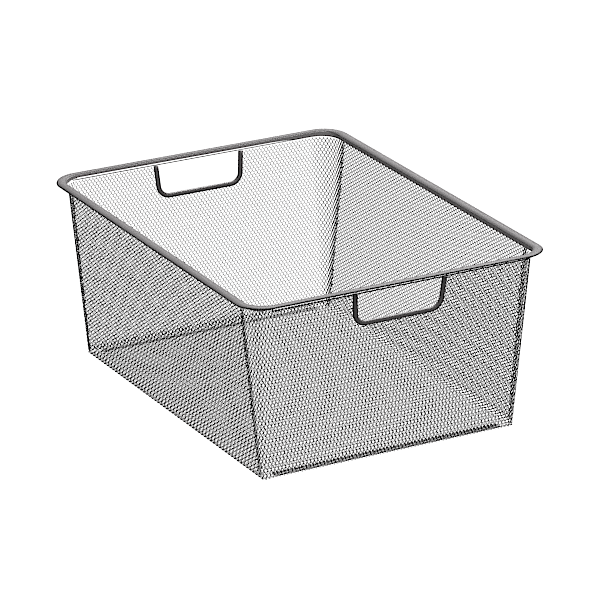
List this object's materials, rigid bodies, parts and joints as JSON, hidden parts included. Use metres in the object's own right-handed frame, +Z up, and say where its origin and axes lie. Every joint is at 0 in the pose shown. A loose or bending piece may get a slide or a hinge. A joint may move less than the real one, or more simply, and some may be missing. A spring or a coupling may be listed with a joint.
{
  "type": "mesh drawer basket",
  "caption": "Tapered rectangular drawer basket of expanded metal mesh under a crowned rounded rim, with a U-shaped rod handle let into each short end.",
  "frame": {"origin": "middle of the underside, where the basket stands", "axes": "+X across the handle ends, +Y along the runner sides towards the back end, +Z up"},
  "size_m": [0.332, 0.436, 0.187],
  "materials": {
    "rim_coat": "satin graphite powder coat",
    "rod_coat": "satin graphite powder coat",
    "mesh_coat": "satin graphite powder coat"
  },
  "bodies": {
    "root": {"rim_band": "rim_coat", "inner_band_left": "rim_coat", "inner_band_right": "rim_coat", "end_rod_front": "rod_coat", "end_rod_back": "rod_coat", "handle_front": "rod_coat", "handle_back": "rod_coat", "mesh_wrap": "mesh_coat", "mesh_front": "mesh_coat", "mesh_back": "mesh_coat"}
  },
  "joints": []
}
